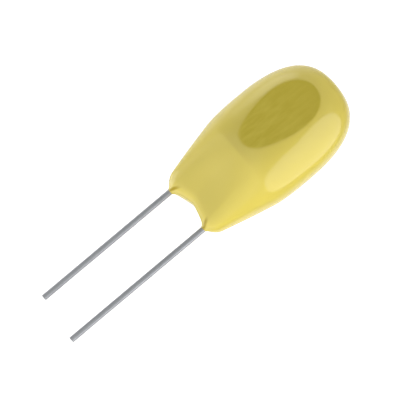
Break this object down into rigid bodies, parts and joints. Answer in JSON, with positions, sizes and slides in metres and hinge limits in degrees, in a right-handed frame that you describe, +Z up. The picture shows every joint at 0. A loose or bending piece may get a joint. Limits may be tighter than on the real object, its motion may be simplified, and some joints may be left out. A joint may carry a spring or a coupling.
{
  "type": "tantalum capacitor",
  "caption": "Teardrop tantalum capacitor dipped in glossy golden resin, with flats front and back, a tapered skirt and two straight tinned radial leads.",
  "frame": {"origin": "middle of the part's outline seen from above, on the surface it lies on", "axes": "+Y from the lead tips towards the round end, +Z up out of the flat at the front, +X towards the positive lead"},
  "size_m": [0.0108, 0.0358, 0.0105],
  "materials": {
    "epoxy": "glossy golden-yellow dipped epoxy",
    "tinned_wire": "drawn wire, tinned, satin",
    "tantalum_wire": "drawn tantalum wire",
    "sintered_tantalum": "porous sintered powder, matte dark grey",
    "manganese_dioxide": "matte black oxide",
    "graphite": "dark grey graphite, slight sheen",
    "silver_paint": "fired silver paint, satin",
    "ptfe": "white fluoropolymer, waxy",
    "solder": "frozen solder, bright satin"
  },
  "bodies": {
    "root": {"epoxy_coating": "epoxy", "positive_lead": "tinned_wire", "negative_lead": "tinned_wire", "riser_wire": "tantalum_wire", "anode_slug": "sintered_tantalum", "manganese_dioxide_layer": "manganese_dioxide", "graphite_coat": "graphite", "silver_coat": "silver_paint", "insulating_washer": "ptfe", "cathode_solder": "solder"}
  },
  "joints": []
}
